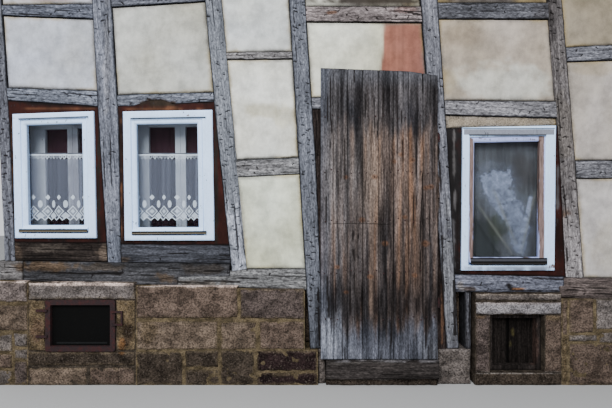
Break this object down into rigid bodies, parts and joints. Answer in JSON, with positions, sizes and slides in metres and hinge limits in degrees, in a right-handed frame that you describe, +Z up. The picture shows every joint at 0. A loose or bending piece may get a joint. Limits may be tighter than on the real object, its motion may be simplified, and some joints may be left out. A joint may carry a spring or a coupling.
{
  "type": "half-timbered house front wall",
  "caption": "Ground-storey street wall of an abandoned half-timbered house: leaning posts, plastered bays, stone plinth, old windows, cellar hatch and a hinged plank door.",
  "frame": {"origin": "bottom of the stone under the doorway, at the middle of the wall's length and in the plane of the timbers' street face", "axes": "+X to the right along the street face, +Y into the house, +Z up"},
  "size_m": [4.9951, 0.457, 3.03],
  "materials": {
    "frame_timber": "weathered",
    "dark_timber": "weathered",
    "door_wood": "weathered",
    "threshold_wood": "worn",
    "red_brown_paint": "old paint",
    "white_paint": "cracked paint",
    "lime_plaster": "matt",
    "plinth_stone": "rough",
    "window_glass": "clear",
    "net_fabric": "open net",
    "red_fabric": "dull",
    "grey_fabric": "dirty",
    "rod_metal": "dull",
    "rusty_iron": "rusty",
    "black_iron": "dull"
  },
  "bodies": {
    "wall": {"post_1": "frame_timber", "post_2": "frame_timber", "post_3": "frame_timber", "post_4": "frame_timber", "post_5": "frame_timber", "post_6": "frame_timber", "post_7": "frame_timber", "wall_plate": "frame_timber", "top_rails": "frame_timber", "lintels": "frame_timber", "cross_rails": "frame_timber", "window_sill_planks": "dark_timber", "sill_beam_left": "frame_timber", "sill_beam_middle": "frame_timber", "sill_beam_right": "dark_timber", "window_beam": "frame_timber", "short_stud": "frame_timber", "window_linings": "red_brown_paint", "door_jambs": "red_brown_paint", "infill_bay_1": "lime_plaster", "infill_bay_2": "lime_plaster", "infill_bay_3": "lime_plaster", "infill_bay_4": "lime_plaster", "infill_bay_5": "lime_plaster", "infill_bay_6": "lime_plaster", "window_frame_1": "white_paint", "window_frame_2": "white_paint", "window_frame_3": "white_paint", "window_sash_1": "white_paint", "window_sash_2": "white_paint", "window_sash_3": "white_paint", "inner_casements": "white_paint", "window_panes": "window_glass", "curtain_rods": "rod_metal", "net_curtain_1": "net_fabric", "net_curtain_2": "net_fabric", "red_curtains": "red_fabric", "hung_cloth": "grey_fabric", "door_pintles": "rusty_iron", "threshold": "threshold_wood", "threshold_stone": "plinth_stone", "post_stones": "plinth_stone", "door_reveals": "plinth_stone", "plinth_left": "plinth_stone", "plinth_middle": "plinth_stone", "base_course": "plinth_stone", "plinth_right": "plinth_stone", "cellar_lintels": "plinth_stone", "cellar_jambs": "plinth_stone", "cellar_sills": "plinth_stone", "cellar_frame": "dark_timber", "cellar_boards": "dark_timber", "hatch_frame": "rusty_iron", "hatch_panel": "black_iron"},
    "door": {"door_boards": "door_wood", "door_ledges": "door_wood", "door_straps": "rusty_iron"}
  },
  "joints": [
    {"name": "door_hinge", "type": "hinge", "parent": "wall", "child": "door", "pos_m": [0.797, -0.019, 0.6], "axis": [0, 0, 1], "range_deg": [0, 105]}
  ]
}
